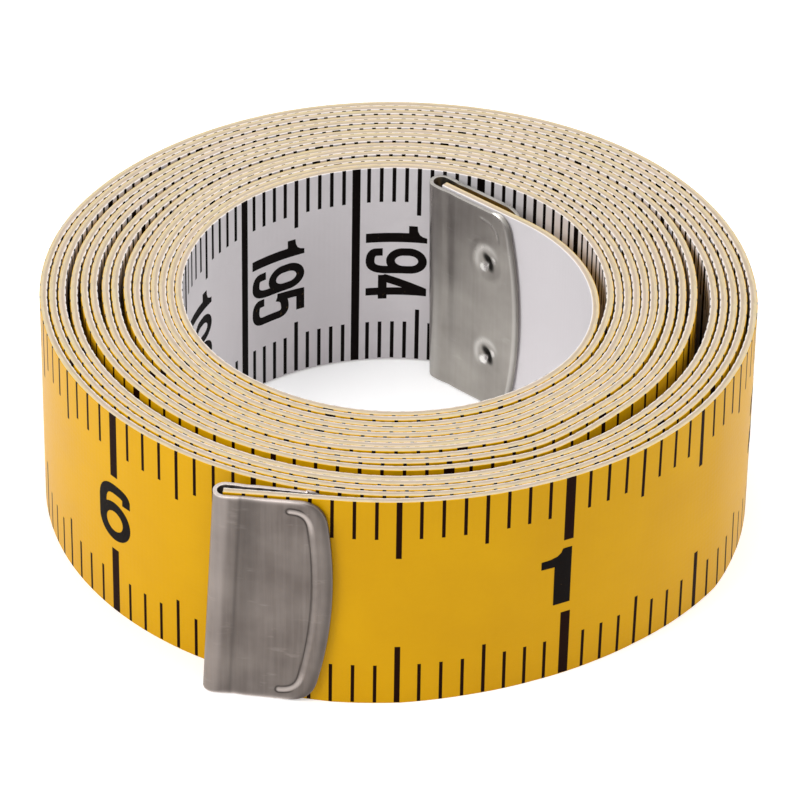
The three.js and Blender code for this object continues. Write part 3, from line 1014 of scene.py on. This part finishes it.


# Height of the pressed form above a leaf's plane, outwards, its painted highlight, and its painted shade,
# with some darkening towards the lip
def pressedForm(reach, heights, style, side):
    bead, stake, wave = clip["bead"], clip["stake"], style["wave"]
    across, up, ripple = clip["unevenness"]
    dents = np.sin(reach * across + wave) * np.sin(heights * up + wave * 2)
    relief = clip["dented"] * dents + clip["rippled"] * np.sin(heights * ripple + wave)
    relief -= bell(reach, *clip["foldHollow"])
    fromBead = np.stack([reach, heights], -1)[..., None, :] - beadPath(bead)
    away = np.sqrt((fromBead ** 2).sum(-1)).min(-1)
    ridge = smooth(1 - away / bead["halfWidth"])
    fromSide = clip["height"] / 2 - np.abs(heights)
    fromLip = lipReach(heights, style["corners"][side]) - reach
    if side == style["beadLeaf"]:
        relief += bead["height"] * ridge
        # Painted highlight along the bead's ridge, stronger towards its ends
        paintedHighlight = 0.1 * ridge * (1 + 4 * ramp(np.abs(heights), 5.8, 1.5))
        inside = ramp(fromLip, bead["fromLip"], 0.3)
        # Painted shade in a line beside the bead, on the fold side
        shadeAndGrime = bell(away, *clip["beadShade"]) * inside
        # Painted shade in a band beside the fold, darker higher up, and in two lines near the fold
        shadeAndGrime += bell(reach, *clip["foldShade"]) * ramp(heights, -10, 16)
        shadeAndGrime += sum(bell(reach, *line) for line in clip["foldShadeLines"])
        # Darker towards the lip
        shadeAndGrime += 0.4 * smooth(1.2 - fromLip / 0.6)
        # The field inside the bead lies a little deeper than the rim outside it
        relief -= 0.04 * inside * ramp(fromSide, bead["fromSide"], 0.3) * ramp(reach, 4.4, 1.5)
    else:
        # On this leaf the bead shows as a shallow groove near the top, with a painted highlight along it
        relief -= 0.05 * ridge * ramp(heights, 6.4, 0.6)
        paintedHighlight = 0.4 * ridge * ramp(heights, 6.6, 0.5)
        # The lip turns in towards the strip, with a painted highlight along its bend and painted shade on
        # the turned-in part
        turned = clip["turnedIn"]
        relief -= 0.2 * np.clip(1 - fromLip / turned, 0, 1)
        paintedHighlight = paintedHighlight + bell(fromLip, 0.45, turned, 0.08)
        shadeAndGrime = 0.3 * smooth((turned - fromLip) / 0.1)
        for order in (-1, 1):
            along, above = reach - stake["fromFold"], heights - order * stake["spacing"] / 2
            away = fromSpot(along, above, stake["hollow"])
            share = np.clip(away, 0, 1)
            dish, hole = stake["dish"]
            relief -= stake["depth"] * (dish * (1 - share) ** 2 + (1 - dish) * smooth(1 - share / hole))
            relief += bell(away, 0.03, 1.1, 0.25)
            # Painted shade along a crease from upper fold side to lower lip side, painted highlights beside
            # it, and a painted highlight round the hollow on its upper fold side
            run, rise = stake["tilt"]
            crease = fromSpot(run * along + rise * above, run * above - rise * along, stake["crease"])
            low, high = (fromSpot(along, above, stake[spot]) for spot in ("low", "high"))
            bright = np.maximum(smooth(2.6 - 2.6 * low), 0.75 * smooth(2 - 2 * high))
            paintedHighlight = paintedHighlight + bright + bell(away, 0.45, 0.85, 0.16) * ramp(above - along, -1, 2)
            shadeAndGrime = shadeAndGrime + 0.97 * smooth(2.4 - 2.4 * crease) * (1 - bright)
    # Painted highlight along the lip and the sides
    lipHighlight, sideHighlight = (np.exp(-away / clip["rimHighlightReach"]) for away in (fromLip, fromSide))
    paintedHighlight = paintedHighlight + style["rim"] * np.maximum(0.2 * lipHighlight, sideHighlight)
    return relief, np.clip(paintedHighlight, 0, 1), np.clip(shadeAndGrime, 0, 1)


def clipPoints(style):
    near = clip["nearPlane"]
    far = near + style["lip"] - clip["sheet"]
    radius = (style["fold"] - clip["sheet"]) / 2
    centre = np.array([radius + clip["sheet"] / 2, near + radius])
    span = np.array([clip["length"], far]) - centre
    leaving = math.atan2(span[1], span[0]) + math.acos(radius / np.hypot(*span))
    heights = spreadHeights(clip["height"] / 2, clip["rows"] + 1)
    steps = np.linspace(0, 1, clip["columns"] + 1)
    columns, paintedLightAndGrime = [], []

    def onFold(angle):
        return centre + radius * np.array([math.cos(angle), math.sin(angle)])

    def leaf(start, side, order):
        reach = lipReach(heights, style["corners"][side])
        for step in order:
            x = start[0] + (reach - start[0]) * step
            y = start[1] + np.zeros_like(x)
            if side > 0:
                y += (far - start[1]) * (x - start[0]) / (clip["length"] - start[0])
            relief, paintedHighlight, shadeAndGrime = pressedForm(x, heights, style, side)
            fade = ramp(x, start[0], 1.2)
            columns.append(np.column_stack([x, y + side * relief * fade, heights]))
            # Painted highlight along the fold
            paintedHighlight = np.maximum(paintedHighlight, bell(x, clip["foldHighlight"], start[0], 0.4))
            paintedLightAndGrime.append(np.column_stack([paintedHighlight, shadeAndGrime * fade]))

    leaf((centre[0], near), -1, steps[::-1])
    # Painted highlight along the fold and its rims
    rim = style["rim"] * np.exp((np.abs(heights) - clip["height"] / 2) / clip["rimHighlightReach"])
    for angle in np.linspace(1.5 * math.pi, leaving, clip["foldColumns"] + 1)[1:-1]:
        columns.append(np.column_stack(np.broadcast_arrays(*onFold(angle), heights)))
        paintedLightAndGrime.append(np.column_stack([np.maximum(rim, clip["foldHighlight"]), np.zeros_like(rim)]))
    leaf(onFold(leaving), 1, steps)
    points = np.array(columns)
    points[..., 0] += math.tan(math.radians(style["skew"])) * points[..., 2]
    return points, np.array(paintedLightAndGrime)


def makeClip(end):
    style = clipStyles[end]
    points, paintedLightAndGrime = clipPoints(style)
    columns, rows = points.shape[:2]
    fold, way = folds[end]
    turn = way + math.pi
    flat = points.reshape(-1, 3)
    if end == "outer":
        flat[:, 1] -= strayed(flat[:, 0], flat[:, 2] + strip["width"] / 2)
    lift = clip["raised"] + standing(0 if end == "outer" else courseLength)
    placed = np.column_stack([
        fold[0] + flat[:, 0] * math.cos(turn) - flat[:, 1] * math.sin(turn),
        fold[1] + flat[:, 0] * math.sin(turn) + flat[:, 1] * math.cos(turn),
        flat[:, 2] + clip["height"] / 2 + lift,
    ]) / 1000
    grid = np.arange(columns * rows).reshape(columns, rows)
    faces = np.stack([grid[:-1, :-1], grid[1:, :-1], grid[1:, 1:], grid[:-1, 1:]], -1).reshape(-1, 4)
    mesh = bpy.data.meshes.new(style["name"])
    mesh.from_pydata(placed.tolist(), [], faces.tolist())
    for label, values in zip(("paintedHighlight", "shadeAndGrime"), paintedLightAndGrime.reshape(-1, 2).T):
        mesh.attributes.new(label, "FLOAT", "POINT").data.foreach_set("value", values.astype(np.float32))
    mesh.materials.append(steelFinishes[style["finish"]])
    source = addObject(style["name"], mesh)
    sheet = source.modifiers.new("sheet", "SOLIDIFY")
    sheet.thickness, sheet.offset = clip["sheet"] / 1000, 0
    rim = source.modifiers.new("rim", "BEVEL")
    rim.width, rim.segments = clip["rimBevel"] / 1000, 2
    rim.limit_method, rim.angle_limit = "ANGLE", math.radians(60)
    piece = plainMesh(source, style["name"])
    bm = bmesh.new()
    bm.from_mesh(piece.data)
    bmesh.ops.recalc_face_normals(bm, faces=bm.faces)
    bm.to_mesh(piece.data)
    bm.free()
    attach(piece, style["body"])
    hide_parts(style["node"])
    print(style["name"], len(piece.data.polygons), "faces")


# Rolled sheet: faint lines up it, broad clouds of tone and scuffs
def steelGrainGroup(grain):
    outputs = {"Lines": "Float", "Cloud": "Float", "Scuffs": "Float", "Relief": "Float"}
    tree, given, result = groupTree("steelGrain", {"Place": (0.0, 0.0, 0.0), "Dents": 2.0}, outputs)
    lines, cloud, worn = (
        addNoise(tree, given["Place"], *grain[layer]) for layer in ("lines", "cloud", "scuffs")
    )
    scuffs = rescale(tree, worn, 0.63, 0.72, 0, 1)
    relief = maths(tree, "MULTIPLY_ADD", cloud, given["Dents"], plus(tree, lines, scuffs))
    plugAll(tree, result, {"Lines": lines, "Cloud": cloud, "Scuffs": scuffs, "Relief": relief})
    return tree


steelGrain = steelGrainGroup({
    "lines": (3200, 3, (1, 1, 0.04)), "cloud": (240, 3), "scuffs": (900, 6, (0.5, 0.5, 1.6)),
})


def steelMaterial(name, look):
    material, tree, shader = newMaterial(name)
    place = addNode(tree, "ShaderNodeTexCoord").outputs["Object"]
    paintedHighlight, shadeAndGrime = readAttribute(tree, "paintedHighlight"), readAttribute(tree, "shadeAndGrime")
    inputs = {"Place": place, "Dents": look["dents"]}
    grain = addNode(tree, "ShaderNodeGroup", inputs, node_tree=steelGrain).outputs
    ground = mixColour(tree, rescale(tree, grain["Cloud"], *noiseRange, 0, 1), look["dark"], look["light"])
    lines = rescale(tree, grain["Lines"], 0.4, 0.75, 0, look["lines"])
    # Lines and scuffs lighten the steel, and so does the painted highlight
    for share in (lines, times(tree, grain["Scuffs"], look["scuffs"]), paintedHighlight):
        ground = mixColour(tree, share, ground, look["bright"])
    rough = rescale(tree, grain["Lines"], *noiseRange, *look["roughness"])
    # Where painted shade lies, the steel is darker and rougher
    rough = maths(tree, "MULTIPLY_ADD", shadeAndGrime, 0.4, rough)
    plugAll(tree, shader, {
        "Base Color": mixColour(tree, shadeAndGrime, ground, look["shadeAndGrimeColour"]),
        "Roughness": maths(tree, "MULTIPLY_ADD", paintedHighlight, -0.1, rough),
        "Metallic": 1, "Normal": bumped(tree, grain["Relief"], 0.35, 0.02),
    })
    return material


# The outer clip's steel is a darker copy of the other: painted shade for the darker surroundings that it
# reflects
steelFinishes = {
    "shaded": steelMaterial("shadedSteel", {
        "dark": linear(94, 86, 82), "light": linear(120, 112, 107), "bright": linear(222, 210, 204),
        "shadeAndGrimeColour": linear(46, 42, 40), "lines": 0.06, "scuffs": 0.07, "roughness": (0.34, 0.46), "dents": 2,
    }),
    "clean": steelMaterial("platedSteel", {
        "dark": linear(138, 133, 127), "light": linear(166, 161, 154), "bright": linear(232, 229, 224),
        "shadeAndGrimeColour": linear(30, 28, 26), "lines": 0.06, "scuffs": 0.07, "roughness": (0.28, 0.38), "dents": 4,
    }),
}
for end in clipStyles:
    makeClip(end)
print("clips folded")
